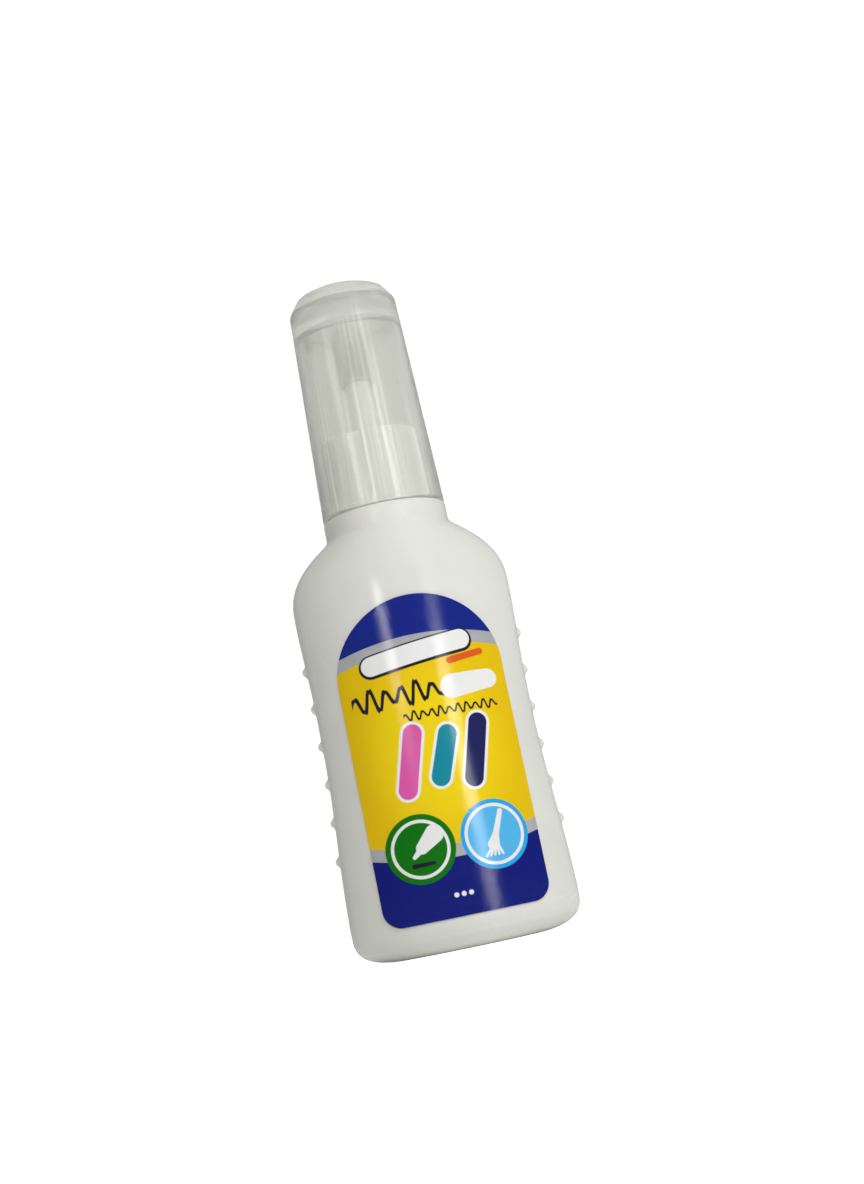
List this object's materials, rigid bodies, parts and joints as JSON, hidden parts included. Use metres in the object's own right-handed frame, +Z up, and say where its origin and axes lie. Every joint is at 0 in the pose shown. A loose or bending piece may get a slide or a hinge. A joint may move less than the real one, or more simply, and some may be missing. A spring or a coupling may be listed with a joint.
{
  "type": "correction fluid bottle",
  "caption": "Oval squeeze bottle of white correction fluid with a metal-tipped screw nozzle, a brush under the nozzle and a clear domed push-on cap.",
  "frame": {"origin": "centre of the base, on the surface that the bottle stands on", "axes": "+Z up along the bottle to the cap's dome, label on the side that faces -Y, +X to the right of the label"},
  "size_m": [0.0292, 0.0182, 0.0874],
  "materials": {
    "bottle_plastic": "soft satin blow-moulded polyethylene",
    "label_film": "glossy printed film",
    "correction_fluid": "opaque white liquid",
    "ball_steel": "ground steel ball",
    "washer_foam": "closed-cell foam liner",
    "nozzle_plastic": "satin injection-moulded polypropylene",
    "tip_metal": "fine turned nickel silver",
    "retainer_plastic": "moulded acetal",
    "pin_steel": "ground steel pin",
    "spring_steel": "drawn spring wire",
    "stem_plastic": "moulded polyethylene tube",
    "anchor_wire": "flat staple wire",
    "bristle_nylon": "cut nylon filaments",
    "cap_plastic": "clear, slightly milky polypropylene"
  },
  "bodies": {
    "bottle": {"bottle": "bottle_plastic", "front_label": "label_film", "correction_fluid": "correction_fluid", "mixing_ball": "ball_steel"},
    "seal": {"seal_washer": "washer_foam"},
    "nozzle": {"nozzle": "nozzle_plastic", "tip_tube": "tip_metal", "spring_retainer": "retainer_plastic", "pin_spring": "spring_steel", "brush_stem": "stem_plastic", "tuft_anchor": "anchor_wire", "bristles": "bristle_nylon"},
    "cap": {"cap": "cap_plastic"},
    "pin": {"tip_pin": "pin_steel"}
  },
  "joints": [
    {"name": "nozzle_lift", "type": "slide", "parent": "bottle", "child": "seal", "axis": [0, 0, 1], "range_m": [0, 0.056]},
    {"name": "nozzle_turn", "type": "hinge", "parent": "seal", "child": "nozzle", "pos_m": [0, 0, 0.06], "axis": [0, 0, 1], "range_deg": [0, 540]},
    {"name": "cap_pull", "type": "slide", "parent": "nozzle", "child": "cap", "axis": [0, 0, 1], "range_m": [0, 0.03]},
    {"name": "pin_press", "type": "slide", "parent": "nozzle", "child": "pin", "axis": [0, 0, 1], "range_m": [-0.0005, 0], "stiffness_N_per_m": 120, "deforming": ["pin_spring"]}
  ]
}
